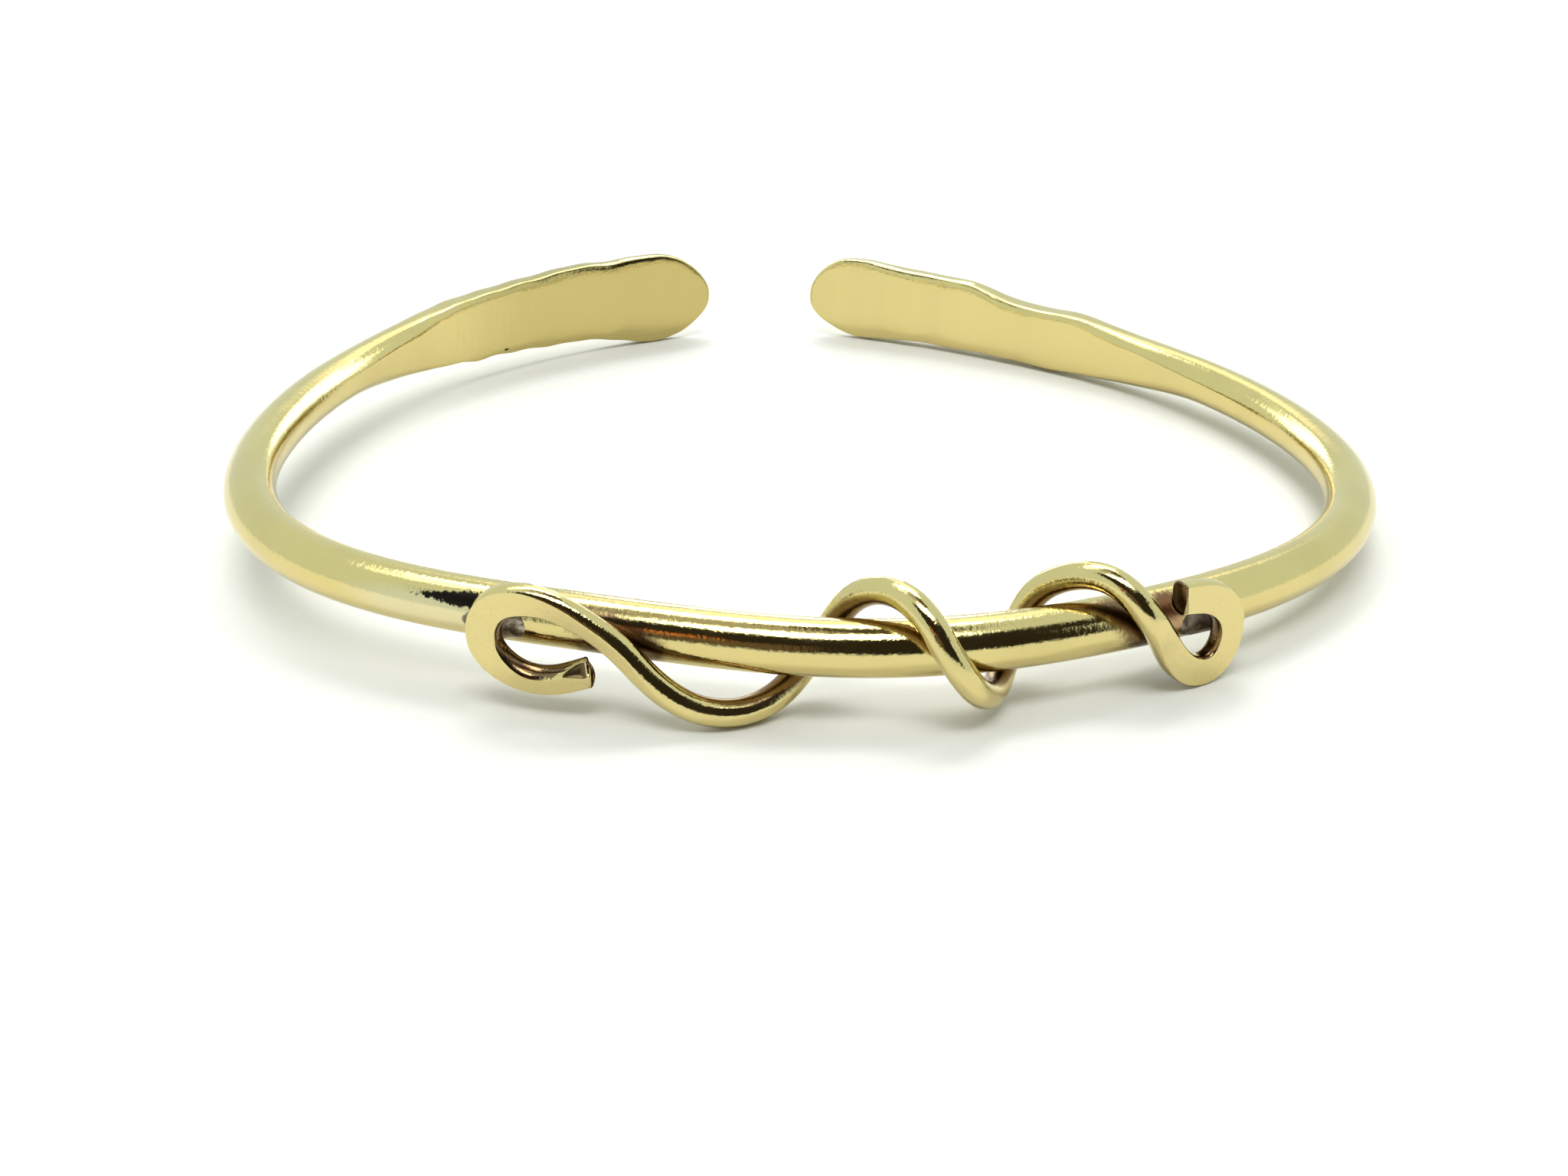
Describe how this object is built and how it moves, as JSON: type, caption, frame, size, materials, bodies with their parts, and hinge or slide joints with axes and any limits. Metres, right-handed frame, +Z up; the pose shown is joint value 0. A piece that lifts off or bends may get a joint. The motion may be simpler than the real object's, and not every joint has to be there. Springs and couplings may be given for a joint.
{
  "type": "wire-wrapped cuff bracelet",
  "caption": "Open oval cuff of thick brass rod with hammered paddle ends and a thinner brass wire wound round its front, ending in filed hooks.",
  "frame": {"origin": "middle of the cuff's box, at the level of the surface it lies on", "axes": "+X along the cuff's width, to the right seen from its decorated front; -Y out of that front; +Z up"},
  "size_m": [0.0604, 0.0546, 0.0064],
  "materials": {
    "rod_brass": "polished, with fine scratches",
    "wire_brass": "polished, filed flat and satin on the hooks",
    "solder": "dull, pitted and heat-stained"
  },
  "bodies": {
    "root": {"cuff_rod": "rod_brass", "wrap_wire": "wire_brass", "left_solder_joint": "solder", "right_solder_joint": "solder"}
  },
  "joints": []
}
